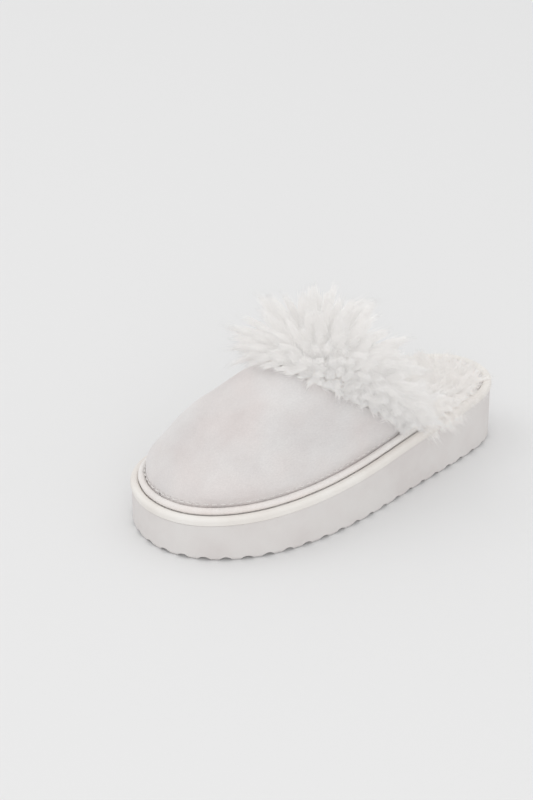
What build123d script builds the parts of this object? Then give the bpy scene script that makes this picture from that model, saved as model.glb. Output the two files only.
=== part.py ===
from build123d import *
import math
import os

# Backless house slipper for a left foot: a cup-shaped foam sole, a puffed suede vamp and a long-pile cuff.
# Millimetres. +Z is up, the toe points to -Y and the heel to +Y. +X is the lateral (outer) side.
# The sole's top face, called the deck here, is a plane that rises from toe to heel.
# All that stands on the sole is modelled in deck coordinates, with z = 0 on the deck, and then put in place.

# Plan of the sole at the deck, counter-clockwise from the back of the heel by way of the medial side.
SOLE_PLAN = [
    (0, 134), (-24, 125), (-39, 90), (-37, 35), (-42, -15), (-53, -70), (-47, -115), (-12, -135),
    (22, -128), (46, -101), (57, -61), (56, -14), (47, 36), (37, 92), (25, 123),
]
SOLE_HALF_LENGTH = 135
TOE_DECK_HEIGHT = 23.6
HEEL_DECK_HEIGHT = 37.6
DECK_MIDDLE = (TOE_DECK_HEIGHT + HEEL_DECK_HEIGHT) / 2
DECK_TILT = math.degrees(math.atan2(HEEL_DECK_HEIGHT - TOE_DECK_HEIGHT, 2 * SOLE_HALF_LENGTH))
DECK = Location((0, 0, DECK_MIDDLE), (DECK_TILT, 0, 0))

# Sole unit: side wall, cup and tread.
SOLE_EDGE_RADIUS = 2.6
CUP_WALL = 8.2
CUP_DEPTH = 10
LIP_INSET = 4.8
LIP_HEIGHT = 4.6
NOTCH_PITCH = 13.5
NOTCH_RADIUS = 5
NOTCH_DEPTH = 2.8
NOTCH_REACH = 13
NOTCH_START = 1
TREAD_INSET = 19
GROOVE_RADIUS = 3.2
GROOVE_DEPTH = 1.8
GROOVE_PITCH = 15
GROOVE_ANGLE = 16
GROOVE_ROWS = 15

# Bead and piping round the top of the sole.
BEAD_OUTSET = 0.9
BEAD_INNER = 4.7
BEAD_HEIGHT = 5.6
BEAD_ROUND = 2.4
BEAD_FOOT_ROUND = 1.2
PIPING_OUTER = 4.9
PIPING_TOP = 8.4
PIPING_ROUND = 1.55

# Layers under the foot, as heights over the deck.
BOARD_TOP = -8.4
FOAM_TOP = -1.5
PLUSH_TOP = 7.9
BED_CLEARANCE = 0.2
BED_SIDE_CLEARANCE = 1.6
BED_STEP = 1

# Upper: the shape of its outer face, then the depth of each layer below that face.
UPPER_INSET = 8.6
UPPER_FLOOR = -8.3
ARCH_BASE = 8
CREST_HEIGHT = 67
CREST_RUN = 150
CREST_FALL = 2.2
CREST_POWER = 0.8
CREST_SKEW = -0.12
ARCH_POWER = 2.4
TOE_STEPS = (0.4, 1.5, 3.5, 7, 12, 19, 28)
BACK_STATIONS = (-80, -60, -35, -10, 15, 40, 66)
ARCH_SPANS = 10
OUTLINE_SAMPLES = 720
SUEDE = (0, 1.4)
INTERLINING = (1.5, 3.4)
LINING = (3.7, 7.6)
TOE_PUFF_END = -92

# Cuff: where its seam and its rear edge run over the arch, seen from the side.
SEAM_BASE_Y = 31
SEAM_RISE = 59
SEAM_RUN = 66
SEAM_POWER = 1.3
REAR_BASE_Y = 48
REAR_RISE = 66
REAR_RUN = 40
LINE_STEP = 12
LINE_POINTS = 10
BINDING_WIDTH = 2.3
CUFF_SIDE_PILE = 9
CUFF_TOP_PILE = 22
CUFF_FLOOR = 9.2

# Stitches.
THREAD_RADIUS = 0.4
STITCH_LENGTH = 3.4
STITCH_SHARE = 0.7
WELT_STITCH_PITCH = 5.2
WELT_STITCH_HEIGHT = 10.4
WELT_STITCH_CLEARANCE = 0.3
CUFF_STITCHES = 34
CUFF_STITCH_START = 0.09
CUFF_STITCH_SPAN = 0.82
CUFF_STITCH_CLEARANCE = 0.2
CUFF_STITCH_LIFT = 0.4
SEAM_ROUNDS = 40

# The gap left between neighbouring solids, how far a cut runs past its target, and a length past all of it.
GAP = 0.1
CUT_MARGIN = 4
BIG = 200


def biarc(start, start_tangent, end, end_tangent):
    """Two arcs, tangent to each other, that join two points with a given direction at each."""
    run = end - start
    along = run.dot(start_tangent + end_tangent)
    turn = 2 * (1 - start_tangent.dot(end_tangent))
    reach = (math.sqrt(along ** 2 + turn * run.dot(run)) - along) / turn
    first_corner = start + start_tangent * reach
    second_corner = end - end_tangent * reach
    middle = (first_corner + second_corner) / 2
    return [
        Edge.make_tangent_arc(start, start_tangent, middle),
        Edge.make_tangent_arc(middle, second_corner - first_corner, end),
    ]


def inset_plan(inset):
    """The sole's plan, moved inwards by inset, as a closed chain of tangent arcs."""
    guide = Edge.make_spline([Vector(*p) for p in SOLE_PLAN], periodic=True)
    tangents = [guide.tangent_at(Vector(*p)).normalized() for p in SOLE_PLAN]
    points = [Vector(*p) - Vector(t.Y, -t.X) * inset for p, t in zip(SOLE_PLAN, tangents)]
    arcs = []
    for i in range(len(points)):
        arcs += biarc(points[i - 1], tangents[i - 1], points[i], tangents[i])
    return Wire(arcs)


def slab(inset, low, high):
    """A solid plate with the sole's plan, between two heights."""
    face = Face(inset_plan(inset))
    return extrude(Pos(0, 0, low) * face, high - low, dir=(0, 0, 1))


def rim_edges(shape, height):
    """The edges that lie flat at one height."""
    return shape.edges().filter_by(lambda edge: abs(edge.center().Z - height) < GAP / 2)


def rounded_band(outer, inner, low, high, low_radius, high_radius):
    """A band that follows the plan, with all four of its long edges rounded."""
    band = slab(outer, low, high) - slab(inner, low - CUT_MARGIN, high + CUT_MARGIN)
    band = fillet(rim_edges(band, low), low_radius)
    return fillet(rim_edges(band, high), high_radius)


def half_space_behind(y):
    return Pos(0, y + BIG, 0) * Box(2 * BIG, 2 * BIG, 2 * BIG)


# ---------------------------------------------------------------- sole

def sole_block():
    """The sole's outer shape, from the ground to the deck, with a rounded bottom edge."""
    block = slab(0, 0, BIG / 2)
    block = fillet(rim_edges(block, 0), SOLE_EDGE_RADIUS)
    return block - DECK * Pos(0, 0, BIG) * Box(2 * BIG, 2 * BIG, 2 * BIG)


def edge_notches():
    """Round-bottomed notches that make the scalloped lower edge of the tread."""
    plan = inset_plan(0)
    count = round(plan.length / NOTCH_PITCH)
    notches = []
    for i in range(count):
        place = plan.position_at(i / count)
        tangent = plan.tangent_at(i / count)
        inward = Vector(-tangent.Y, tangent.X)
        middle = place + inward * (NOTCH_REACH / 2 - NOTCH_START)
        axis = Plane(origin=(middle.X, middle.Y, NOTCH_DEPTH - NOTCH_RADIUS), z_dir=inward)
        notches.append(axis * Cylinder(NOTCH_RADIUS, NOTCH_REACH))
    return notches


def tread_grooves():
    """Shallow chevron grooves across the middle of the tread."""
    field = slab(TREAD_INSET, -BIG, BIG)
    grooves = []
    for row in range(GROOVE_ROWS):
        y = (row - (GROOVE_ROWS - 1) / 2) * GROOVE_PITCH
        for side in (-1, 1):
            bar = Rot(0, 90, 0) * Cylinder(GROOVE_RADIUS, BIG / 2)
            bar = Rot(0, 0, side * GROOVE_ANGLE) * Pos(side * BIG / 4, 0, 0) * bar
            grooves.append(Pos(0, y, GROOVE_DEPTH - GROOVE_RADIUS) * bar & field)
    return grooves


def sole_unit():
    """One moulded foam piece: tread, side wall, and a cup with a low lip that the piping sits on."""
    lip = slab(LIP_INSET, -CUT_MARGIN, LIP_HEIGHT)
    cup = slab(CUP_WALL, -CUP_DEPTH, BIG / 4)
    sole = sole_block() + DECK * lip - DECK * cup
    return sole - edge_notches() - tread_grooves()


def rim_bead():
    return rounded_band(-BEAD_OUTSET, BEAD_INNER, GAP, BEAD_HEIGHT, BEAD_FOOT_ROUND, BEAD_ROUND)


def welt_piping():
    """Piping that runs round the vamp and ends under the cuff's rear edge."""
    ring = rounded_band(PIPING_OUTER, CUP_WALL, LIP_HEIGHT + GAP, PIPING_TOP, PIPING_ROUND, PIPING_ROUND)
    return ring - half_space_behind(REAR_BASE_Y)


# ---------------------------------------------------------------- layers under the foot

def bed_layer(low, high):
    """A layer that fills the cup behind the upper, and the space between the upper's walls."""
    behind = slab(CUP_WALL + BED_CLEARANCE, low, high) & half_space_behind(REAR_BASE_Y + BED_STEP)
    inside_upper = slab(UPPER_INSET + LINING[1] + BED_SIDE_CLEARANCE, low, high)
    return behind + inside_upper


def lasting_board():
    return slab(CUP_WALL + BED_CLEARANCE, -CUP_DEPTH + GAP, BOARD_TOP)


def footbed_foam():
    return bed_layer(BOARD_TOP + GAP, FOAM_TOP)


def footbed_plush():
    return bed_layer(FOAM_TOP + GAP, PLUSH_TOP)


# ---------------------------------------------------------------- upper

def half_widths(plan_points, y):
    """Where a line across the plan at y meets it: (medial x, lateral x)."""
    crossings = []
    for a, b in zip(plan_points, plan_points[1:] + plan_points[:1]):
        if (a.Y - y) * (b.Y - y) < 0:
            crossings.append(a.X + (b.X - a.X) * (y - a.Y) / (b.Y - a.Y))
    return min(crossings), max(crossings)


def crest_height(y, toe):
    run = min((y - toe) / CREST_RUN, 1)
    return CREST_HEIGHT * (1 - (1 - run) ** CREST_FALL) ** CREST_POWER


def arch_point(medial, lateral, height, across):
    """A point of the arch; across runs from -1 at the medial wall to 1 at the lateral wall."""
    reach = 1 - CREST_SKEW if across > CREST_SKEW else 1 + CREST_SKEW
    side = (across - CREST_SKEW) / reach
    x = (medial + lateral) / 2 + (lateral - medial) / 2 * across
    return x, ARCH_BASE + height * math.sqrt(max(1 - abs(side) ** ARCH_POWER, 0))


def arch_section(y, medial, lateral, height, floor):
    """A closed cross-section of the upper, as its straight floor and walls and the curved arch."""
    points = []
    for i in range(ARCH_SPANS + 1):
        x, z = arch_point(medial, lateral, height, -math.cos(math.pi * i / ARCH_SPANS))
        points.append(Vector(x, y, z))
    low_medial = Vector(medial, y, floor)
    low_lateral = Vector(lateral, y, floor)
    return [
        Edge.make_line(low_medial, points[0]),
        Edge.make_spline(points, tangents=[Vector(0, 0, 1), Vector(0, 0, -1)]),
        Edge.make_line(points[-1], low_lateral),
        Edge.make_line(low_lateral, low_medial),
    ]


def upper_form(depth, top_depth, floor):
    """The solid inside the upper's outer face, shrunk by depth at its walls and top_depth at its crest."""
    plan = inset_plan(UPPER_INSET + depth)
    outline = [plan.position_at(i / OUTLINE_SAMPLES) for i in range(OUTLINE_SAMPLES)]
    toe = min(point.Y for point in outline)
    sections = []
    for y in [toe + step for step in TOE_STEPS] + list(BACK_STATIONS):
        medial, lateral = half_widths(outline, y)
        height = max(crest_height(y, toe) - top_depth, TOE_STEPS[0])
        sections.append(arch_section(y, medial, lateral, height, floor))
    faces = [Face(Wire(sections[0])), Face(Wire(sections[-1]))]
    for near, far in zip(sections, sections[1:]):
        faces += [Face.make_surface_from_curves(a, b) for a, b in zip(near, far)]
    return Part() + Solid(Shell(faces))


def upper_shell(depths):
    outer, inner = depths
    return upper_form(outer, outer, UPPER_FLOOR) - upper_form(inner, inner, UPPER_FLOOR - CUT_MARGIN)


def seam_y(z):
    rise = max(z - ARCH_BASE, 0)
    return SEAM_BASE_Y - SEAM_RUN * (rise / SEAM_RISE) ** SEAM_POWER


def rear_y(z):
    return REAR_BASE_Y - REAR_RUN * max(z - ARCH_BASE, 0) / REAR_RISE


def ahead_of(line, offset=0):
    """Everything on the toe's side of a line that runs over the arch, given as y for each height."""
    heights = [ARCH_BASE + LINE_STEP * i for i in range(LINE_POINTS)]
    points = [Vector(0, line(z) + offset, z) for z in heights]
    low = Vector(0, points[0].Y, -BIG / 2)
    low_toe = Vector(0, -BIG, -BIG / 2)
    high_toe = Vector(0, -BIG, points[-1].Z)
    side = Face(Wire([
        Edge.make_line(low_toe, low),
        Edge.make_line(low, points[0]),
        Edge.make_spline(points),
        Edge.make_line(points[-1], high_toe),
        Edge.make_line(high_toe, low_toe),
    ]))
    return extrude(side, BIG, dir=(1, 0, 0), both=True)


def vamp_suede():
    return upper_shell(SUEDE) & ahead_of(seam_y)


def toe_puff():
    return upper_shell(INTERLINING) - half_space_behind(TOE_PUFF_END)


def vamp_interlining():
    return (upper_shell(INTERLINING) & ahead_of(seam_y)) & half_space_behind(TOE_PUFF_END + GAP)


def vamp_lining():
    return upper_shell(LINING) & ahead_of(seam_y)


def edge_binding():
    """The tape that closes the vamp's cut edge, where the cuff is sewn on."""
    shell = upper_shell((SUEDE[0], LINING[1]))
    return (shell & ahead_of(seam_y, BINDING_WIDTH)) - ahead_of(seam_y, GAP)


def fur_cuff():
    """The cuff with the bulk of its pile, clear of the bead and the piping below it."""
    pile = upper_form(-CUFF_SIDE_PILE, -CUFF_TOP_PILE, UPPER_FLOOR)
    pile -= Pos(0, 0, CUFF_FLOOR - BIG) * Box(2 * BIG, 2 * BIG, 2 * BIG)
    wall = upper_form(0, 0, UPPER_FLOOR)
    cuff = pile + wall - upper_form(LINING[1], LINING[1], UPPER_FLOOR - CUT_MARGIN)
    return (cuff & ahead_of(rear_y)) - ahead_of(seam_y, BINDING_WIDTH + GAP)


# ---------------------------------------------------------------- stitches

def stitch(start, end):
    """One stitch, a short straight thread between two points."""
    run = end - start
    middle = (start + end) / 2
    return Plane(origin=middle, z_dir=run) * Cylinder(THREAD_RADIUS, min(run.length, STITCH_LENGTH))


def welt_stitching():
    """Stitches round the foot of the vamp, just above the piping."""
    path = inset_plan(UPPER_INSET - THREAD_RADIUS - WELT_STITCH_CLEARANCE)
    count = round(path.length / WELT_STITCH_PITCH)
    stitches = []
    for i in range(count):
        start = path.position_at(i / count)
        end = path.position_at((i + STITCH_SHARE) / count)
        if max(start.Y, end.Y) < SEAM_BASE_Y - STITCH_LENGTH:
            lift = Vector(0, 0, WELT_STITCH_HEIGHT)
            stitches.append(stitch(start + lift, end + lift))
    return Compound(children=stitches)


def seam_point(across, plan_points, toe):
    """The point of the cuff's seam at one place across the arch, on the upper's outer face."""
    y = SEAM_BASE_Y
    for _ in range(SEAM_ROUNDS):
        medial, lateral = half_widths(plan_points, y)
        x, z = arch_point(medial, lateral, crest_height(y, toe), across)
        y = (y + seam_y(z)) / 2
    return Vector(x, y + BINDING_WIDTH / 2, z)


def cuff_stitching():
    """Stitches over the edge binding that hold the cuff to the vamp."""
    plan = inset_plan(UPPER_INSET - THREAD_RADIUS - CUFF_STITCH_CLEARANCE)
    outline = [plan.position_at(i / OUTLINE_SAMPLES) for i in range(OUTLINE_SAMPLES)]
    toe = min(point.Y for point in outline)
    turns = [CUFF_STITCH_START + CUFF_STITCH_SPAN * i / CUFF_STITCHES for i in range(CUFF_STITCHES + 1)]
    angles = [math.pi * turn for turn in turns]
    lift = Vector(0, 0, THREAD_RADIUS + CUFF_STITCH_LIFT)
    points = [seam_point(-math.cos(a), outline, toe) + lift for a in angles]
    return Compound(children=[stitch(a, a + (b - a) * STITCH_SHARE) for a, b in zip(points, points[1:])])


# ---------------------------------------------------------------- assembly

ON_THE_GROUND = {"sole_unit": sole_unit}
ON_THE_DECK = {
    "rim_bead": rim_bead,
    "welt_piping": welt_piping,
    "lasting_board": lasting_board,
    "footbed_foam": footbed_foam,
    "footbed_plush": footbed_plush,
    "vamp_suede": vamp_suede,
    "vamp_interlining": vamp_interlining,
    "toe_puff": toe_puff,
    "vamp_lining": vamp_lining,
    "edge_binding": edge_binding,
    "fur_cuff": fur_cuff,
    "welt_stitching": welt_stitching,
    "cuff_stitching": cuff_stitching,
}

nodes = {name: make() for name, make in ON_THE_GROUND.items()}
nodes |= {name: DECK * make() for name, make in ON_THE_DECK.items()}

# The origin is on the ground, under the middle of the whole slipper's box.
box = Compound(children=[Compound(children=list(shape.solids())) for shape in nodes.values()]).bounding_box()
to_origin = Pos(-box.center().X, -box.center().Y, -box.min.Z)

os.makedirs("parts", exist_ok=True)
for name, shape in nodes.items():
    export_step(to_origin * Compound(children=list(shape.solids())), f"parts/{name}.step")
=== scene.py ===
import math

import bpy
import numpy as np
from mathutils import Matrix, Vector


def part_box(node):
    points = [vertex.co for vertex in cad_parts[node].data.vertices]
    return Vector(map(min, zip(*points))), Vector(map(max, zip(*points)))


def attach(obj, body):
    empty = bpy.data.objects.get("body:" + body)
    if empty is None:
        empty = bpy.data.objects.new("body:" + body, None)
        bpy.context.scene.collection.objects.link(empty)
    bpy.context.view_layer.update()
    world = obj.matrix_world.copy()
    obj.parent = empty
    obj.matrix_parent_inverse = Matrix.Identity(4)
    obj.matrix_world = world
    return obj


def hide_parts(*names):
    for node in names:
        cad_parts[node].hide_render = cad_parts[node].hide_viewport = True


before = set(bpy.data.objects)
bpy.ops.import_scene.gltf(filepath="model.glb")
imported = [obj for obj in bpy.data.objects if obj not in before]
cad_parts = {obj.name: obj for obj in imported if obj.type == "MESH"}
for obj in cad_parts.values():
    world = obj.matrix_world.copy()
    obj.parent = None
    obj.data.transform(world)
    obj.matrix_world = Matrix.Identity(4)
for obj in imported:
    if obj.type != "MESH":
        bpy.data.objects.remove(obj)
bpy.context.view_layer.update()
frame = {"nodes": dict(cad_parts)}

# Lengths are in millimetres up to the last step, where meshes are scaled to metres.
MM = 0.001

# Plan of the sole at its top face, counter-clockwise from the back of the heel by way of the medial side.
SOLE_PLAN = np.array([
    (0, 134), (-24, 125), (-39, 90), (-37, 35), (-42, -15), (-53, -70), (-47, -115), (-12, -135),
    (22, -128), (46, -101), (57, -61), (56, -14), (47, 36), (37, 92), (25, 123),
], float)
DECK_MIDDLE = 30.6
DECK_TILT = math.atan2(14, 270)

# The upper's outer face, in deck coordinates, as the CAD model has it.
UPPER_INSET = 8.6
ARCH_BASE = 8
CREST_HEIGHT = 67
CREST_RUN = 150
CREST_FALL = 2.2
CREST_POWER = 0.8
CREST_SKEW = -0.12
ARCH_POWER = 2.4
LEAST_HEIGHT = 0.4
SEAM_BASE_Y = 31
SEAM_RISE = 59
SEAM_RUN = 66
SEAM_POWER = 1.3
REAR_BASE_Y = 48
REAR_RISE = 66
REAR_RUN = 40
BINDING = 2.4
LINING_DEPTH = 7.6
MEETING_ROUNDS = 60


# ---------------------------------------------------------------- shape of the sole and the upper

def closed_spline(points, count):
    """Points and unit tangents along a smooth closed curve through the given points."""
    steps = np.linalg.norm(np.roll(points, -1, 0) - points, axis=1)
    n = len(points)
    system = np.zeros((n, n))
    right = np.zeros((n, 2))
    for i in range(n):
        before, after = steps[i - 1], steps[i]
        system[i, i - 1] = 1 / before
        system[i, i] = 2 / before + 2 / after
        system[i, (i + 1) % n] = 1 / after
        right[i] = 3 * (points[i] - points[i - 1]) / before ** 2
        right[i] += 3 * (points[(i + 1) % n] - points[i]) / after ** 2
    slopes = np.linalg.solve(system, right)
    knots = np.concatenate([[0], np.cumsum(steps)])
    at = np.linspace(0, knots[-1], count, endpoint=False)
    span = np.clip(np.searchsorted(knots, at, side="right") - 1, 0, n - 1)
    h = steps[span][:, None]
    t = ((at - knots[span]) / steps[span])[:, None]
    a, b = points[span], points[(span + 1) % n]
    da, db = slopes[span] * h, slopes[(span + 1) % n] * h
    place = (2 * t ** 3 - 3 * t ** 2 + 1) * a + (t ** 3 - 2 * t ** 2 + t) * da
    place += (3 * t ** 2 - 2 * t ** 3) * b + (t ** 3 - t ** 2) * db
    slope = (6 * t ** 2 - 6 * t) * (a - b) + (3 * t ** 2 - 4 * t + 1) * da + (3 * t ** 2 - 2 * t) * db
    return place, slope / np.linalg.norm(slope, axis=1)[:, None]


PLAN, PLAN_TANGENT = closed_spline(SOLE_PLAN, 1440)
PLAN_OUTWARD = np.stack([PLAN_TANGENT[:, 1], -PLAN_TANGENT[:, 0]], 1)


def inset_plan(inset):
    return PLAN - PLAN_OUTWARD * inset


def half_widths(inset, y):
    """The medial and the lateral x of the inset plan, for an array of y."""
    points = inset_plan(inset)
    heel, toe = points[:, 1].argmax(), points[:, 1].argmin()
    rolled = np.roll(points, -heel, 0)
    turn = (toe - heel) % len(points)
    medial = rolled[: turn + 1][::-1]
    lateral = rolled[turn:]
    return np.interp(y, medial[:, 1], medial[:, 0]), np.interp(y, lateral[:, 1], lateral[:, 0])


def toe_y(depth):
    return inset_plan(UPPER_INSET + depth)[:, 1].min()


def upper_point(y, across, depth=0.0):
    """Deck coordinates on the upper, depth below its outer face; across is -1 medially and 1 laterally."""
    medial, lateral = half_widths(UPPER_INSET + depth, y)
    run = np.clip((y - toe_y(depth)) / CREST_RUN, 0, 1)
    height = CREST_HEIGHT * (1 - (1 - run) ** CREST_FALL) ** CREST_POWER - depth
    height = np.maximum(height, LEAST_HEIGHT)
    side = (across - CREST_SKEW) / np.where(across > CREST_SKEW, 1 - CREST_SKEW, 1 + CREST_SKEW)
    x = (medial + lateral) / 2 + (lateral - medial) / 2 * across
    z = ARCH_BASE + height * np.sqrt(np.maximum(1 - np.abs(side) ** ARCH_POWER, 0))
    return np.stack([x, y + 0 * x, z], -1)


def seam_y(z):
    return SEAM_BASE_Y - SEAM_RUN * (np.maximum(z - ARCH_BASE, 0) / SEAM_RISE) ** SEAM_POWER


def rear_y(z):
    return REAR_BASE_Y - REAR_RUN * np.maximum(z - ARCH_BASE, 0) / REAR_RISE


def meets(line, across, depth=0.0):
    """The y at which the upper meets a line over the arch, for each place across it."""
    y = np.full_like(across, SEAM_BASE_Y)
    for _ in range(MEETING_ROUNDS):
        y = (y + line(upper_point(y, across, depth)[..., 2])) / 2
    return y


def cos_spaced(count):
    return -np.cos(np.linspace(0, math.pi, count))


def box_middle():
    low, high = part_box("sole_unit")
    middle = (low + high) / 2 / MM
    plan_middle = (PLAN.max(0) + PLAN.min(0)) / 2
    return np.array([middle.x - plan_middle[0], middle.y - plan_middle[1], 0])


TO_ORIGIN = box_middle()


def deck_to_world(points):
    """Deck coordinates to the frame's coordinates, both in millimetres."""
    c, s = math.cos(DECK_TILT), math.sin(DECK_TILT)
    x, y, z = points[..., 0], points[..., 1], points[..., 2]
    turned = np.stack([x, y * c - z * s, y * s + z * c + DECK_MIDDLE], -1)
    return turned + TO_ORIGIN


# ---------------------------------------------------------------- meshes

def new_object(name, verts, faces_by_size, face_slots=None, smooth=True):
    """A mesh object from vertices in millimetres and arrays of faces, each array with one corner count."""
    mesh = bpy.data.meshes.new(name)
    mesh.vertices.add(len(verts))
    mesh.vertices.foreach_set("co", (np.asarray(verts, np.float32) * MM).ravel())
    corners = np.concatenate([f.ravel() for f in faces_by_size])
    sizes = np.concatenate([np.full(len(f), f.shape[1]) for f in faces_by_size])
    mesh.loops.add(len(corners))
    mesh.loops.foreach_set("vertex_index", corners.astype(np.int32))
    mesh.polygons.add(len(sizes))
    mesh.polygons.foreach_set("loop_start", np.concatenate([[0], np.cumsum(sizes)[:-1]]).astype(np.int32))
    if face_slots is not None:
        mesh.polygons.foreach_set("material_index", face_slots.astype(np.int32))
    mesh.update(calc_edges=True)
    mesh.validate()
    if smooth:
        mesh.shade_smooth()
    else:
        mesh.shade_flat()
    obj = bpy.data.objects.new(name, mesh)
    bpy.context.scene.collection.objects.link(obj)
    return obj


def grid_faces(rows, columns, start=0, wrap=False):
    r = np.arange(rows if wrap else rows - 1)[:, None]
    c = np.arange(columns - 1)[None, :]
    near, far = start + r * columns, start + ((r + 1) % rows) * columns
    return np.stack([near + c, near + c + 1, far + c + 1, far + c], -1).reshape(-1, 4)


def grid_normals(grid):
    along = np.gradient(grid, axis=0)
    across = np.gradient(grid, axis=1)
    normal = np.cross(across, along)
    return normal / np.maximum(np.linalg.norm(normal, axis=-1, keepdims=True), 1e-9)


def sheet_solid(name, outer, inner):
    """A closed wall between two grids of the same size."""
    rows, columns = outer.shape[:2]
    count = rows * columns
    faces = [grid_faces(rows, columns), grid_faces(rows, columns, count)[:, ::-1]]
    index = np.arange(count).reshape(rows, columns)
    for edge in (index[0], index[-1][::-1], index[::-1, 0], index[:, -1]):
        a, b = edge[:-1], edge[1:]
        faces.append(np.stack([a, a + count, b + count, b], -1))
    verts = np.concatenate([outer.reshape(-1, 3), inner.reshape(-1, 3)])
    return new_object(name, verts, faces)


def unit(vectors):
    return vectors / np.maximum(np.linalg.norm(vectors, axis=-1, keepdims=True), 1e-9)


def tube_mesh(path, aside, up, half_width, half_height, sides=16):
    """Vertices, quads and end triangles of a closed tube of oval section that follows a path."""
    count = len(path)
    angle = np.arange(sides) * 2 * math.pi / sides
    across = np.broadcast_to(half_width, (count,))[:, None, None] * np.cos(angle)[None, :, None]
    rise = np.broadcast_to(half_height, (count,))[:, None, None] * np.sin(angle)[None, :, None]
    rings = path[:, None] + aside[:, None] * across + up[:, None] * rise
    verts = np.concatenate([rings.reshape(-1, 3), path[:1], path[-1:]])
    around = np.arange(sides)
    start, ring = np.arange(count - 1)[:, None] * sides, (around + 1) % sides
    quads = np.stack([start + around, start + ring, start + sides + ring, start + sides + around], -1)
    quads = quads.reshape(-1, 4)
    first, last = count * sides, count * sides + 1
    near = np.stack([ring, around, np.full(sides, first)], 1)
    far = np.stack([last - 1 - sides + around, last - 1 - sides + ring, np.full(sides, last)], 1)
    return verts, quads, np.concatenate([near, far])


def join_meshes(name, parts):
    """One object from several (vertices, quads, triangles)."""
    starts = np.cumsum([0] + [len(part[0]) for part in parts[:-1]])
    verts = np.concatenate([part[0] for part in parts])
    quads = np.concatenate([part[1] + start for part, start in zip(parts, starts)])
    triangles = np.concatenate([part[2] + start for part, start in zip(parts, starts)])
    return new_object(name, verts, [quads, triangles])


def smooth_noise(points, scale, seed):
    """A soft noise of about -1 to 1 over points, made of a few plane waves in random directions."""
    rng = np.random.default_rng(seed)
    total = np.zeros(points.shape[:-1])
    for _ in range(14):
        direction = unit(rng.normal(size=3)) * 2 * math.pi / (scale * rng.uniform(0.7, 1.6))
        total += np.sin(points @ direction + rng.uniform(0, 2 * math.pi))
    return total / math.sqrt(14) * 0.9


# ---------------------------------------------------------------- fur

RING = 3
MOST_TRIANGLES = 195000

# Each coat: strands, gap between locks, seed, strand width, pull towards the lock's tip, frizz, and segments.
COATS = {
    "cuff_fur": (48000, 4.2, 21, 0.3, 0.62, 1.35, 5),
    "cuff_underfur": (26000, 2.6, 22, 0.3, 0.2, 2.2, 2),
    "footbed_pile": (42000, 3.2, 31, 0.3, 0.35, 1.4, 4),
    "lining_pile": (34000, 2.6, 51, 0.4, 0.4, 0.7, 2),
}


class Pelt:
    """A grid of points that hair grows on, with its normals, and the share of hair that each cell gets."""

    def __init__(self, grid, weight=None):
        self.grid = grid
        self.normal = grid_normals(grid)
        self.along = unit(np.gradient(grid, axis=0))
        a = grid[1:, :-1] - grid[:-1, :-1]
        b = grid[:-1, 1:] - grid[:-1, :-1]
        area = np.linalg.norm(np.cross(a, b), axis=-1)
        self.area = area.sum()
        self.share = area if weight is None else area * weight
        self.share = (self.share / self.share.sum()).ravel()

    def sample(self, count, rng):
        """Roots, normals, directions along the rows, and each root's place (row, column) from 0 to 1."""
        rows, columns = self.grid.shape[0] - 1, self.grid.shape[1] - 1
        cell = rng.choice(len(self.share), size=count, p=self.share)
        r, c = cell // columns, cell % columns
        u, v = rng.random(count)[:, None], rng.random(count)[:, None]

        def blend(a):
            near = a[r, c] * (1 - v) + a[r, c + 1] * v
            far = a[r + 1, c] * (1 - v) + a[r + 1, c + 1] * v
            return near * (1 - u) + far * u
        place = np.stack([(r + u[:, 0]) / rows, (c + v[:, 0]) / columns], 1)
        return blend(self.grid), unit(blend(self.normal)), unit(blend(self.along)), place


def spread_out(points, gap):
    """Indices of points that keep at least about gap between them, taken in order."""
    kept = []
    for i, p in enumerate(points):
        if not kept or np.min(np.sum((points[kept] - p) ** 2, 1)) > gap * gap:
            kept.append(i)
    return np.array(kept)


def nearest(points, centres):
    best = np.zeros(len(points), int)
    for start in range(0, len(points), 4000):
        part = points[start:start + 4000]
        best[start:start + 4000] = ((part[:, None] - centres[None]) ** 2).sum(2).argmin(1)
    return best


def hair_mesh(name, paths, widths, shades, shade_count):
    """Closed tapered strands, one for each row of paths, coloured from root to tip in three bands; the darker
    roots are painted shade.
    """
    count, points = paths.shape[:2]
    run = unit(paths[:, -1] - paths[:, 0])
    aside = unit(np.cross(run, np.where(np.abs(run[:, 2:]) > 0.8, [[1.0, 0, 0]], [[0, 0, 1.0]])))
    third = np.cross(run, aside)
    t = np.linspace(0, 1, points)[:-1]
    taper = (1 - t ** 1.8) * 0.9 + 0.1
    angle = np.arange(RING) * 2 * math.pi / RING
    ring = aside[:, None] * np.cos(angle)[None, :, None] + third[:, None] * np.sin(angle)[None, :, None]
    body = paths[:, :-1, None] + ring[:, None] * (widths[:, None] * taper)[..., None, None] / 2
    verts = np.concatenate([body.reshape(count, -1, 3), paths[:, -1:]], 1)
    size = verts.shape[1]
    quads, triangles, quad_band = [], [], []
    for s in range(points - 2):
        for k in range(RING):
            near, far = s * RING, (s + 1) * RING
            quads.append((near + k, near + (k + 1) % RING, far + (k + 1) % RING, far + k))
            quad_band.append(min(s * 3 // (points - 2), 2))
    last = (points - 2) * RING
    for k in range(RING):
        triangles.append((last + k, last + (k + 1) % RING, size - 1))
    triangles.append((2, 1, 0))
    base = (np.arange(count) * size)[:, None, None]
    all_quads = (base + np.array(quads)[None]).reshape(-1, 4)
    all_triangles = (base + np.array(triangles)[None]).reshape(-1, 3)
    band = np.array(quad_band)[None] * shade_count + shades[:, None]
    tip_band = np.repeat((2 * shade_count + shades)[:, None], len(triangles), 1)
    slots = np.concatenate([band.ravel(), tip_band.ravel()])
    return new_object(name, verts.reshape(-1, 3), [all_quads, all_triangles], slots)


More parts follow.
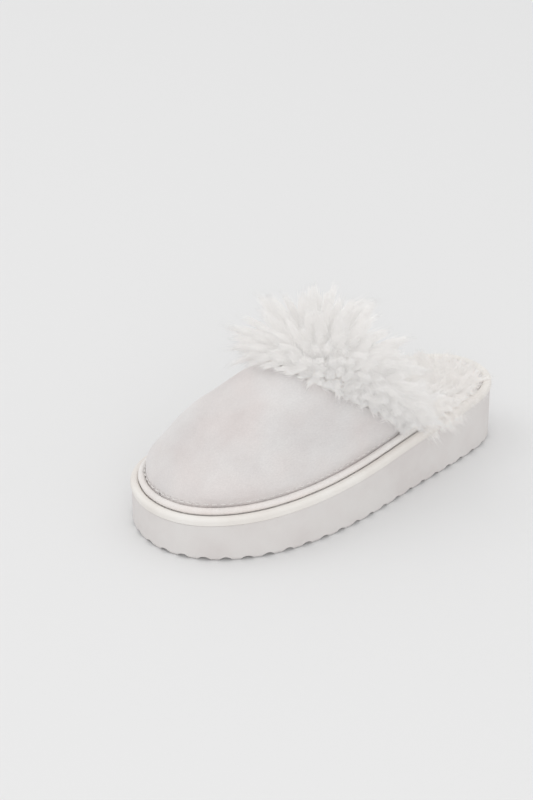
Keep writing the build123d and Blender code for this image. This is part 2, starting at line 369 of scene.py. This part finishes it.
def combed_paths(roots, lock_roots, comb, own, lengths, pull, rng, frizz, segments):
    """Strand paths that follow their lock's curve and close in on it towards its tip."""
    t = np.linspace(0, 1, segments + 1)[None, :, None]
    length = lengths[:, None, None]
    curve = comb["direction"][own][:, None] * t + comb["droop"][own][:, None] * t ** 2
    wave = np.sin(2 * math.pi * t * comb["waves"][own][:, None, None] + comb["phase"][own][:, None, None])
    curl = comb["aside"][own][:, None] * (wave * t * comb["curl"][own][:, None, None])
    gather = 1 - pull[:, None, None] * t ** 1.2
    offset = (roots - lock_roots)[:, None] * gather
    loose = rng.normal(size=(len(roots), 1, 3)) * frizz * t ** 1.5
    kink = rng.normal(size=(len(roots), segments + 1, 3)) * frizz * 0.2 * t
    return lock_roots[:, None] + offset + curve * length + curl + loose + kink


# ---------------------------------------------------------------- materials

def rgb(red, green, blue):
    """A colour given in display values from 0 to 255, as the linear values that Blender takes."""
    def linear(v):
        v /= 255
        return v / 12.92 if v <= 0.04045 else ((v + 0.055) / 1.055) ** 2.4
    return (linear(red), linear(green), linear(blue), 1)


def material(name, colour, roughness, sheen=0.0):
    mat = bpy.data.materials.new(name)
    mat.use_nodes = True
    shader = mat.node_tree.nodes["Principled BSDF"]
    shader.inputs["Base Color"].default_value = colour
    shader.inputs["Roughness"].default_value = roughness
    shader.inputs["Sheen Weight"].default_value = sheen
    shader.inputs["Sheen Roughness"].default_value = 0.5
    shader.inputs["Specular IOR Level"].default_value = 0.3
    return mat


def node(mat, kind, **settings):
    made = mat.node_tree.nodes.new(kind)
    for key, value in settings.items():
        if key in made.inputs.keys():
            made.inputs[key].default_value = value
        else:
            setattr(made, key, value)
    return made


def link(mat, output, target):
    mat.node_tree.links.new(output, target)


def object_coordinates(mat, scale=(1, 1, 1)):
    coords = node(mat, "ShaderNodeTexCoord")
    mapping = node(mat, "ShaderNodeMapping", Scale=scale)
    link(mat, coords.outputs["Object"], mapping.inputs["Vector"])
    return mapping.outputs["Vector"]


def noise_texture(mat, scale, detail=4.0, rough=0.55, stretch=(1, 1, 1)):
    texture = node(mat, "ShaderNodeTexNoise", Scale=scale, Detail=detail, Roughness=rough)
    link(mat, object_coordinates(mat, stretch), texture.inputs["Vector"])
    return texture.outputs["Fac"]


def ramp(mat, value, stops):
    made = node(mat, "ShaderNodeValToRGB")
    made.color_ramp.elements[0].position, made.color_ramp.elements[0].color = stops[0]
    made.color_ramp.elements[1].position, made.color_ramp.elements[1].color = stops[-1]
    for position, colour in stops[1:-1]:
        made.color_ramp.elements.new(position).color = colour
    link(mat, value, made.inputs["Fac"])
    return made.outputs["Color"]


def mixed(mat, a, b, factor, mode="MIX"):
    mix = node(mat, "ShaderNodeMix", data_type="RGBA", blend_type=mode)
    mix.inputs["Factor"].default_value = factor
    link(mat, a, mix.inputs[6])
    link(mat, b, mix.inputs[7])
    return mix.outputs[2]


def set_bump(mat, layers):
    """Bump from (value, distance in metres, strength) layers, one on top of the other."""
    shader = mat.node_tree.nodes["Principled BSDF"]
    normal = None
    for value, distance, strength in layers:
        bump = node(mat, "ShaderNodeBump", Distance=distance, Strength=strength)
        link(mat, value, bump.inputs["Height"])
        if normal is not None:
            link(mat, normal, bump.inputs["Normal"])
        normal = bump.outputs["Normal"]
    link(mat, normal, shader.inputs["Normal"])


def suede(name, low, middle, high):
    """Brushed faux suede: soft patches where the nap lies different ways, and a fine fibre grain."""
    mat = material(name, middle, 0.9, sheen=0.35)
    patches = noise_texture(mat, 38, 3.0, 0.6, (1, 0.6, 1))
    colour = ramp(mat, patches, [(0.32, low), (0.5, middle), (0.7, high)])
    blush = noise_texture(mat, 21, 2.0)
    tint = ramp(mat, blush, [(0.4, rgb(255, 255, 255)), (0.65, rgb(255, 251, 250))])
    colour = mixed(mat, colour, tint, 1.0, "MULTIPLY")
    fibre = noise_texture(mat, 1500, 3.0, 0.7, (1, 0.35, 1))
    speckle = ramp(mat, fibre, [(0.35, rgb(246, 246, 246)), (0.65, rgb(255, 255, 255))])
    colour = mixed(mat, colour, speckle, 1.0, "MULTIPLY")
    link(mat, colour, mat.node_tree.nodes["Principled BSDF"].inputs["Base Color"])
    set_bump(mat, [(fibre, 0.0002, 0.45), (noise_texture(mat, 420, 4.0), 0.0004, 0.25)])
    return mat


def foam(name, base, dark, light, grain=900):
    """Matt moulded foam with a faint cell grain and slightly uneven colour."""
    mat = material(name, base, 0.62)
    cloudy = noise_texture(mat, 30, 4.0)
    colour = ramp(mat, cloudy, [(0.35, dark), (0.5, base), (0.68, light)])
    link(mat, colour, mat.node_tree.nodes["Principled BSDF"].inputs["Base Color"])
    cells = noise_texture(mat, grain, 2.0, 0.6)
    rough = ramp(mat, noise_texture(mat, 160, 3.0), [(0.3, (0.52,) * 3 + (1,)), (0.7, (0.72,) * 3 + (1,))])
    link(mat, rough, mat.node_tree.nodes["Principled BSDF"].inputs["Roughness"])
    set_bump(mat, [(cells, 0.0002, 0.35), (noise_texture(mat, 90, 3.0), 0.0006, 0.2)])
    return mat


def woven(name, base, dark, scale=1400):
    """A plain weave from two crossed sets of ridges."""
    mat = material(name, base, 0.85, sheen=0.2)
    value = None
    for axis in ("X", "Y"):
        wave = node(mat, "ShaderNodeTexWave", wave_type="BANDS", bands_direction=axis, Scale=scale / 6,
                    Distortion=0.6)
        link(mat, object_coordinates(mat), wave.inputs["Vector"])
        if value is None:
            value = wave.outputs["Fac"]
        else:
            both = node(mat, "ShaderNodeMath", operation="MAXIMUM")
            link(mat, value, both.inputs[0])
            link(mat, wave.outputs["Fac"], both.inputs[1])
            value = both.outputs[0]
    colour = ramp(mat, value, [(0.2, dark), (0.9, base)])
    link(mat, colour, mat.node_tree.nodes["Principled BSDF"].inputs["Base Color"])
    set_bump(mat, [(value, 0.0003, 0.5)])
    return mat


HAIR_SHADES = 3
# Emission on the hair is painted light; it is weaker at the roots as painted shade deep in the coat.
HAIR_PAINTED_GLOW = {"root": 0.18, "mid": 0.215, "tip": 0.24}
LIGHT_SHADES = (0, 2)
DARK_SHADE = 1
# The darker locks get only this share of the hair's painted light.
DARK_GLOW = 0.3
# Three shades of hair in each band. The roots are darker than the tips as painted shade deep in the coat.
HAIR_TINTS = {
    "fur": {
        "root": [(237, 235, 233), (206, 196, 192), (241, 240, 238)],
        "mid": [(250, 250, 249), (228, 222, 219), (252, 252, 252)],
        "tip": [(254, 254, 254), (249, 248, 247), (254, 254, 254)],
    },
    "plush": {
        "root": [(238, 235, 232), (233, 230, 227), (242, 240, 238)],
        "mid": [(247, 246, 244), (244, 242, 240), (249, 248, 247)],
        "tip": [(251, 250, 248), (248, 247, 245), (252, 252, 251)],
    },
}


def hair_material(name, colour, glow):
    """Pale hair. A little emission stands for the light that comes through many fine fibres."""
    mat = material(name, colour, 0.6)
    shader = mat.node_tree.nodes["Principled BSDF"]
    shader.inputs["Emission Color"].default_value = (1, 1, 1, 1)
    shader.inputs["Emission Strength"].default_value = glow
    return mat


def hair_materials(kind):
    """One material for each band from root to tip and each shade of hair."""
    made = []
    for band in ("root", "mid", "tip"):
        for i, tint in enumerate(HAIR_TINTS[kind][band]):
            glow = HAIR_PAINTED_GLOW[band] * (DARK_GLOW if i == DARK_SHADE else 1)
            made.append(hair_material(f"{kind}_{band}_{i}", rgb(*tint), glow))
    return made


SUEDE = suede("suede", rgb(213, 209, 208), rgb(218, 215, 214), rgb(223, 221, 220))
# The piping's suede is a lighter copy of the vamp's: painted light for its lit top, which also lifts the
# shade in the grooves beside it.
PIPING_SUEDE_PAINTED_LIGHT = suede("piping_suede", rgb(230, 226, 223), rgb(234, 231, 228), rgb(238, 236, 234))
SOLE_FOAM = foam("sole_foam", rgb(217, 213, 211), rgb(213, 208, 206), rgb(220, 217, 215))
BEAD_FOAM = foam("bead_foam", rgb(231, 227, 222), rgb(227, 222, 217), rgb(235, 232, 228), 700)
TAPE = woven("tape", rgb(226, 222, 219), rgb(206, 201, 197), 1800)
THREAD = woven("thread", rgb(231, 228, 225), rgb(212, 208, 205), 3000)
BACKING = woven("backing", rgb(232, 229, 226), rgb(206, 202, 198))
FUR = hair_materials("fur")
PLUSH = hair_materials("plush")


def dress(obj, materials, slot, *nodes):
    """Gives a piece its materials and body and hides the CAD nodes that it stands for; the slot is not used.
    """
    obj.data.materials.clear()
    for mat in materials:
        obj.data.materials.append(mat)
    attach(obj, "root")
    if nodes:
        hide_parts(*nodes)
    return obj


# ---------------------------------------------------------------- vamp

def walled(rows, drop, tuck):
    """Adds to each row of the upper's grid the walls that go down inside the cup."""
    steps = np.linspace(1, 0, 5)[:-1]
    medial = np.stack([rows[:, 0] + [tuck * s, 0, -drop * s] for s in steps], 1)
    lateral = np.stack([rows[:, -1] + [-tuck * s, 0, -drop * s] for s in steps[::-1]], 1)
    return np.concatenate([medial, rows, lateral], 1)


def upper_grid(depth, rows, columns, end_line, end_offset=0.0, start=None):
    across = cos_spaced(columns)
    end = meets(end_line, across, depth) + end_offset
    begin = np.full_like(across, toe_y(depth)) if start is None else meets(start[0], across, depth) + start[1]
    power = 1.8 if start is None else 1.0
    v = np.linspace(0, 1, rows)[:, None] ** power
    y = begin[None] + (end - begin)[None] * v
    return upper_point(y, np.broadcast_to(across, y.shape), depth)


PUFF = 1.5
PUFF_HEIGHT = 9
PUFF_SPREAD = 7
SUEDE_THICKNESS = 1.3


def vamp():
    """The suede vamp: puffed a little over the piping, with soft dents."""
    grid = walled(upper_grid(0.0, 150, 190, seam_y), 7, 0.9)
    normal = grid_normals(grid)
    height = grid[..., 2] - ARCH_BASE
    puff = PUFF * np.exp(-((height - PUFF_HEIGHT) / PUFF_SPREAD) ** 2)
    dents = 0.55 * smooth_noise(grid, 46, 11) + 0.22 * smooth_noise(grid, 19, 12)
    fade = np.clip(height / 6, 0, 1)
    outer = grid + normal * ((puff + dents) * fade)[..., None]
    inner = outer - grid_normals(outer) * SUEDE_THICKNESS
    obj = sheet_solid("vamp_suede_cover", deck_to_world(outer), deck_to_world(inner))
    dress(obj, [SUEDE], "suede", "vamp_suede")


# ---------------------------------------------------------------- piping, binding, stitches and lining

PIPING_INSET = 6.2
PIPING_MIDDLE = 6.9
PIPING_RADIUS = 2.3
STITCH_PITCH = 5.2
STITCH_SHARE = 0.7
STITCH_HEIGHT = 10.4
STITCH_RADIUS = 0.4
STITCH_PROUD = 0.75
CUFF_STITCHES = 34
CUFF_STITCH_START = 0.09
CUFF_STITCH_SPAN = 0.82
LINING_FACE = 5.2


def on_plan(inset, z):
    return np.column_stack([inset_plan(inset), np.full(len(PLAN), float(z))])


def piping():
    """A cord wrapped in suede round the foot of the vamp, gathered a little at each stitch."""
    inside = np.flatnonzero(PLAN[:, 1] < REAR_BASE_Y)
    path = on_plan(PIPING_INSET, PIPING_MIDDLE)[inside]
    aside = np.column_stack([PLAN_OUTWARD, np.zeros(len(PLAN))])[inside]
    run = np.concatenate([[0], np.cumsum(np.linalg.norm(np.diff(path, axis=0), axis=1))])
    gather = 1 - 0.03 * np.cos(2 * math.pi * run / STITCH_PITCH) ** 8 + 0.015 * smooth_noise(path, 9, 41)
    end = np.clip(np.minimum(run, run[-1] - run) / PIPING_RADIUS, 0.1, 1)
    radius = PIPING_RADIUS * gather * np.sqrt(1 - (1 - end) ** 2)
    up = np.tile([0, 0, 1.0], (len(path), 1))
    verts, quads, triangles = tube_mesh(path, aside, up, radius, radius)
    obj = join_meshes("welt_piping_cover", [(deck_to_world(verts), quads, triangles)])
    dress(obj, [PIPING_SUEDE_PAINTED_LIGHT], "piping_suede", "welt_piping")


def seam_frame(across, depth, offset):
    """Points beside the cuff's seam, with the directions away from the upper and along it."""
    y = meets(seam_y, across) + offset
    point, deeper = upper_point(y, across, depth), upper_point(y, across, depth + 2)
    normal = unit(point - deeper)
    run = unit(np.gradient(point, axis=0))
    return point, normal, unit(np.cross(normal, run))


def binding():
    """The tape folded over the vamp's cut edge."""
    point, normal, aside = seam_frame(cos_spaced(140)[1:-1], 3.6, BINDING / 2)
    ripple = 1 + 0.04 * smooth_noise(point, 7, 43)
    verts, quads, triangles = tube_mesh(point, aside, normal, 1.1 * ripple, 3.7 * ripple)
    obj = join_meshes("edge_binding_tape", [(deck_to_world(verts), quads, triangles)])
    dress(obj, [TAPE], "binding_tape", "edge_binding")


def thread_tube(path, up):
    run = unit(np.gradient(path, axis=0))
    aside = unit(np.cross(run, up))
    end = 1 - np.abs(np.linspace(-1, 1, len(path))) ** 6 * 0.7
    verts, quads, triangles = tube_mesh(path, aside, unit(np.cross(aside, run)), STITCH_RADIUS * end,
                                        STITCH_RADIUS * end, 8)
    return deck_to_world(verts), quads, triangles


def welt_stitches():
    """Stitches round the foot of the vamp; each dips into the suede at both ends."""
    loop = on_plan(UPPER_INSET, STITCH_HEIGHT)
    closed = np.concatenate([loop, loop[:1]])
    outward = np.column_stack([PLAN_OUTWARD, np.zeros(len(PLAN))])
    outward = np.concatenate([outward, outward[:1]])
    run = np.concatenate([[0], np.cumsum(np.linalg.norm(np.diff(closed, axis=0), axis=1))])
    count = round(run[-1] / STITCH_PITCH)
    t = np.linspace(0, 1, 9)
    proud = STITCH_PROUD * np.sin(math.pi * t) ** 0.5 - 0.3
    threads = []
    for i in range(count):
        at = (i + t * STITCH_SHARE) / count * run[-1]
        path = np.stack([np.interp(at, run, closed[:, k]) for k in range(3)], 1)
        up = np.stack([np.interp(at, run, outward[:, k]) for k in range(3)], 1)
        if path[:, 1].max() < SEAM_BASE_Y - STITCH_PITCH:
            threads.append(thread_tube(path + up * proud[:, None], up))
    dress(join_meshes("welt_stitching_thread", threads), [THREAD], "thread", "welt_stitching")


def cuff_stitches():
    """Stitches over the binding, from one side of the arch to the other."""
    t = np.linspace(0, 1, 9)
    threads = []
    for i in range(CUFF_STITCHES):
        turn = CUFF_STITCH_START + CUFF_STITCH_SPAN * (i + t * STITCH_SHARE) / CUFF_STITCHES
        point, normal, _ = seam_frame(-np.cos(math.pi * turn), 0.0, BINDING / 2)
        lift = 0.5 * np.sin(math.pi * t) ** 0.5 - 0.2
        threads.append(thread_tube(point + normal * lift[:, None], normal))
    dress(join_meshes("cuff_stitching_thread", threads), [THREAD], "thread", "cuff_stitching")


def lining_comb(roots, normals, along, place, rng):
    """Short pile that stands up from the lining, brushed a little towards the toe."""
    count = len(roots)
    return {
        "direction": unit(normals - along * 0.3 + rng.normal(size=roots.shape) * 0.35),
        "droop": rng.normal(size=roots.shape) * 0.15,
        "aside": unit(rng.normal(size=roots.shape)),
        "curl": rng.uniform(0.2, 0.7, count),
        "waves": rng.uniform(0.5, 1.0, count),
        "phase": rng.uniform(0, 2 * math.pi, count),
        "length": 5 * rng.uniform(0.8, 1.2, count),
        "dark": np.full(count, 0.25),
        "close": np.ones(count),
    }


def lining():
    """The lining's cloth and its pile, which faces the foot."""
    outer = walled(upper_grid(3.7, 60, 80, seam_y), 7, 0)
    inner = walled(upper_grid(LINING_FACE, 60, 80, seam_y), 7, 0)
    obj = sheet_solid("lining_cloth", deck_to_world(outer), deck_to_world(inner))
    dress(obj, [BACKING], "lining_plush", "vamp_lining")
    facing = inner[:, ::-1]
    weight = np.clip((facing[:-1, :-1, 1] + 110) / 60, 0.25, 1)
    grow("lining_pile", Pelt(facing, weight), lining_comb, PLUSH, "lining_plush")


# ---------------------------------------------------------------- cuff

def cuff_profile(columns=120):
    """The cuff's fur side as a grid, from the seam round the rear edge and into the opening."""
    across = cos_spaced(columns)
    front = meets(seam_y, across) + BINDING
    back = meets(rear_y, across)
    v = np.linspace(0, 1, 16)[:, None]
    y = front[None] + (back - front)[None] * v
    outside = upper_point(y, np.broadcast_to(across, y.shape))
    inner_y = back[None] + (front - back)[None] * np.linspace(0, 0.75, 9)[:, None]
    inside = upper_point(inner_y, np.broadcast_to(across, inner_y.shape), LINING_DEPTH)
    middle, half = (outside[-1] + inside[0]) / 2, (outside[-1] - inside[0]) / 2
    backwards = unit(outside[-1] - outside[-2]) * np.linalg.norm(half, axis=-1, keepdims=True)
    turn = np.linspace(0, math.pi, 9)[1:-1, None, None]
    rim = middle[None] + half[None] * np.cos(turn) + backwards[None] * np.sin(turn)
    return np.concatenate([outside, rim, inside])


def cuff_backing():
    grid = walled(cuff_profile(), 6, 0.6)
    skin = deck_to_world(grid)
    obj = sheet_solid("cuff_backing", skin, skin - grid_normals(skin) * 1.2)
    dress(obj, [BACKING], "fur", "fur_cuff")


LENGTH_OVER_ARCH = ([0, 0.1, 0.3, 0.5, 0.65, 0.8, 0.92, 1], [32, 42, 44, 36, 34, 31, 26, 20])
LENGTH_ALONG = (
    [0, 0.08, 0.2, 0.4, 0.53, 0.6, 0.68, 0.8, 1],
    [0.5, 0.68, 0.92, 1, 1.05, 0.75, 0.32, 0.22, 0.2],
)
LEAN_ALONG = ([0, 0.06, 0.2, 0.5, 0.6, 0.75, 1], [-1.9, -1.1, -0.2, 0.65, -0.1, -0.5, -0.4])
FUR_CEILING = 127
FUR_HALF_WIDTH = 64


def cuff_comb(roots, normals, along, place, rng):
    """How the cuff's locks lie: they part along the strip, hang at its front and curl low on the sides."""
    row, column = place[:, 0], place[:, 1]
    count = len(roots)
    lean = np.interp(row, *LEAN_ALONG)[:, None]
    side = np.abs(column - 0.45) * 2
    direction = normals + along * lean + np.array([0, 0, 0.22]) + rng.normal(size=roots.shape) * 0.19
    length = np.interp(column, *LENGTH_OVER_ARCH) * np.interp(row, *LENGTH_ALONG)
    curly = np.clip((column - 0.48) / 0.15, 0, 1) * np.clip((0.42 - row) / 0.15, 0, 1)
    length *= 1 - 0.45 * curly
    forward = np.clip((0.45 - column) / 0.2, 0, 1) * np.clip((0.35 - row) / 0.2, 0, 1)
    length *= 1 + 0.4 * forward
    return {
        "direction": unit(direction),
        "droop": np.array([0, 0, -1.0]) * rng.uniform(0.12, 0.4, count)[:, None],
        "aside": unit(np.cross(direction, rng.normal(size=roots.shape))),
        "curl": (0.8 + 1.6 * side ** 2 + 2.6 * curly) * rng.uniform(0.6, 1.2, count),
        "waves": rng.uniform(0.7, 1.1, count) + 0.4 * curly,
        "phase": rng.uniform(0, 2 * math.pi, count),
        "length": length * rng.uniform(0.88, 1.1, count),
        # Share of darker locks: a little at random as tone, and much more in the low curly zone as painted
        # shade in its gaps.
        "dark": 0.12 + 0.75 * curly,
        "close": 1 + 0.5 * curly,
    }


def held_in(paths):
    """Eases back the hair that would reach past the height and the half width given for the fur."""
    for axis, limit in ((0, FUR_HALF_WIDTH), (2, FUR_CEILING)):
        reach = np.abs(paths[..., axis])
        over = np.maximum(reach - limit, 0)
        paths[..., axis] *= 1 - over * over / (over + 5) / np.maximum(reach, 1)
    return paths


def grow(name, pelt, comb_of, mats, slot):
    """Grows one of the coats in locks on a pelt, as pieces of a limited size."""
    strands, gap, seed, full_width, pull, frizz, segments = COATS[name]
    scale = 1.0
    count, width = int(strands * scale), full_width / math.sqrt(scale)
    rng = np.random.default_rng(seed)
    centres, normals, along, place = pelt.sample(int(pelt.area / gap ** 2 * 6), rng)
    kept = spread_out(centres, gap)
    centres = centres[kept]
    comb = comb_of(centres, normals[kept], along[kept], place[kept], rng)
    lock_shade = rng.choice(LIGHT_SHADES, len(kept))
    lock_shade[rng.random(len(kept)) < comb["dark"]] = DARK_SHADE
    roots = pelt.sample(count, rng)[0]
    own = nearest(roots, centres)
    lengths = comb["length"][own] * rng.uniform(0.6, 1.05, count)
    close = np.minimum(pull * comb["close"][own] * rng.uniform(0.6, 1.15, count), 1)
    paths = combed_paths(roots, centres[own], comb, own, lengths, close, rng, frizz, segments)
    paths = held_in(deck_to_world(paths))
    widths = width * rng.uniform(0.7, 1.25, count)
    shades = np.where(rng.random(count) < 0.75, lock_shade[own], rng.integers(0, HAIR_SHADES, count))
    order = np.argsort(own, kind="stable")
    per_piece = MOST_TRIANGLES // (RING * (2 * segments - 1) + 1)
    for number, start in enumerate(range(0, count, per_piece)):
        part = order[start:start + per_piece]
        piece = hair_mesh(f"{name}_{number + 1}", paths[part], widths[part], shades[part], HAIR_SHADES)
        dress(piece, mats, slot)


def under_comb(roots, normals, along, place, rng):
    """Short, loose hair that fills the space between the roots of the locks."""
    comb = cuff_comb(roots, normals, along, place, rng)
    comb["direction"] = unit(normals + rng.normal(size=roots.shape) * 0.5)
    comb["length"] = np.minimum(comb["length"] * 0.55, 15)
    return comb


def cuff_fur():
    pelt = Pelt(cuff_profile())
    grow("cuff_fur", pelt, cuff_comb, FUR, "fur")
    grow("cuff_underfur", pelt, under_comb, FUR, "fur")


# ---------------------------------------------------------------- footbed

BED_TOP = 0.5
BED_DOME = 4.5
BULGE_Y = 62
BULGE_WIDTH = 26
BULGE_HEIGHT = 6


def bulge(y):
    """Where the pile is fullest, just behind the cuff."""
    return np.exp(-((y - BULGE_Y) / BULGE_WIDTH) ** 2)


def bed_grid(rows=70, columns=44, inset=8.7, inner=17.0):
    """The top of the footbed: a low dome inside the rim, narrower between the walls of the upper."""
    y = np.linspace(-1, 1, rows)
    y = np.sign(y) * (1 - (1 - np.abs(y)) ** 1.6)
    low, high = inset_plan(inner)[:, 1].min() + 0.3, inset_plan(inset)[:, 1].max() - 0.3
    y = low + (high - low) * (y + 1) / 2
    blend = 1 / (1 + np.exp(-(y - REAR_BASE_Y) / 3))
    narrow, wide = half_widths(inner, y), half_widths(inset, y)
    medial = narrow[0] * (1 - blend) + wide[0] * blend
    lateral = narrow[1] * (1 - blend) + wide[1] * blend
    s = np.linspace(-1, 1, columns)[None]
    x = (medial + lateral)[:, None] / 2 + (lateral - medial)[:, None] / 2 * s
    span = np.clip((high - y) / 30, 0, 1)[:, None] ** 0.5
    dome = (BED_DOME + BULGE_HEIGHT * bulge(y) * blend)[:, None] * span
    z = BED_TOP + dome * np.clip(1 - s ** 8, 0, 1) ** 0.5
    return np.stack([x, y[:, None] + 0 * x, z], -1)


def bed_comb(roots, normals, along, place, rng):
    """How the footbed's pile lies: upright, longer at the heel, and falling outwards at the bulge."""
    count = len(roots)
    heel = np.clip((roots[:, 1] - 10) / 40, 0, 1)
    outward = np.clip((place[:, 1] - 0.5) * 2, -1, 1)
    full = bulge(roots[:, 1]) * heel * np.clip(outward, 0, 1)
    side = np.stack([outward, 0 * outward, 0 * outward], 1)
    direction = normals + rng.normal(size=roots.shape) * 0.3
    direction += side * (0.3 * heel + 0.6 * heel * outward ** 4 + 0.25 * full)[:, None]
    direction[:, 1] += 0.9 * np.clip((roots[:, 1] - 108) / 18, 0, 1)
    return {
        "direction": unit(direction),
        "droop": np.stack([0.12 * full, 0 * heel, -0.2 - 0.35 * full], 1),
        "aside": unit(rng.normal(size=roots.shape)),
        "curl": rng.uniform(0.3, 1.2, count),
        "waves": rng.uniform(0.5, 1.0, count),
        "phase": rng.uniform(0, 2 * math.pi, count),
        "length": (7 + 5 * heel + 3 * full) * rng.uniform(0.85, 1.1, count),
        "dark": np.full(count, 0.25),
        "close": np.ones(count),
    }


def footbed():
    top = bed_grid()
    under = top.copy()
    under[..., 2] = -1.2
    obj = sheet_solid("footbed_backing", deck_to_world(top), deck_to_world(under))
    dress(obj, [BACKING], "plush", "footbed_plush")
    edge = np.abs(np.linspace(-1, 1, top.shape[1] - 1)) ** 4
    weight = np.clip((top[:-1, :-1, 1] + 60) / 60, 0.12, 1) * (1 + 1.5 * edge)
    grow("footbed_pile", Pelt(top, weight), bed_comb, PLUSH, "plush")


# ---------------------------------------------------------------- carried-over CAD nodes

def dress_cad():
    nodes = frame["nodes"]
    cushion = foam("cushion_foam", rgb(228, 222, 208), rgb(216, 209, 194), rgb(236, 231, 220), 1500)
    interlining = foam("interlining", rgb(232, 230, 224), rgb(224, 221, 214), rgb(240, 238, 234), 1700)
    puff = foam("toe_puff", rgb(224, 218, 206), rgb(214, 207, 194), rgb(232, 227, 217), 1200)
    board = woven("board_cloth", rgb(205, 196, 184), rgb(176, 166, 152), 1100)
    finish = {
        "sole_unit": SOLE_FOAM,
        "rim_bead": BEAD_FOAM,
        "lasting_board": board,
        "footbed_foam": cushion,
        "vamp_interlining": interlining,
        "toe_puff": puff,
    }
    for name, mat in finish.items():
        nodes[name].data.materials.clear()
        nodes[name].data.materials.append(mat)


# ---------------------------------------------------------------- stage

def area_light(name, place, target, size, power):
    data = bpy.data.lights.new(name, "AREA")
    data.shape, data.size, data.energy = "DISK", size, power
    obj = bpy.data.objects.new(name, data)
    obj.location = place
    obj.rotation_euler = (Vector(target) - Vector(place)).to_track_quat("-Z", "Y").to_euler()
    bpy.context.scene.collection.objects.link(obj)


def studio():
    scene = bpy.context.scene
    scene.view_settings.view_transform = "Standard"
    floor = new_object("floor", np.array([(-9, -9, 0), (9, -9, 0), (9, 9, 0), (-9, 9, 0)], float) / MM,
                       [np.array([[0, 1, 2, 3]])], smooth=False)
    floor.data.materials.append(material("floor", rgb(229, 229, 229), 0.95))
    world = bpy.data.worlds.new("studio")
    world.use_nodes = True
    world.node_tree.nodes["Background"].inputs["Color"].default_value = (1, 1, 1, 1)
    world.node_tree.nodes["Background"].inputs["Strength"].default_value = 0.92
    scene.world = world
    area_light("key", (-1.3, -1.1, 2.1), (0, 0, 0.05), 1.8, 6)
    area_light("fill", (2.0, -1.4, 1.3), (0, 0, 0.05), 1.8, 10)


def camera():
    data = bpy.data.cameras.new("camera")
    data.lens = 100
    azimuth, elevation, distance = math.radians(51.3), math.radians(28), 1.498
    target = Vector((-0.0788, 0.0158, 0.020)) + Vector(TO_ORIGIN * MM)
    back = Vector((math.sin(azimuth) * math.cos(elevation), -math.cos(azimuth) * math.cos(elevation),
                   math.sin(elevation)))
    obj = bpy.data.objects.new("camera", data)
    obj.location = target + back * distance
    obj.rotation_euler = (-back).to_track_quat("-Z", "Y").to_euler()
    bpy.context.scene.collection.objects.link(obj)
    bpy.context.scene.camera = obj


camera()
studio()
dress_cad()
vamp()
piping()
binding()
welt_stitches()
cuff_stitches()
lining()
cuff_backing()
cuff_fur()
footbed()
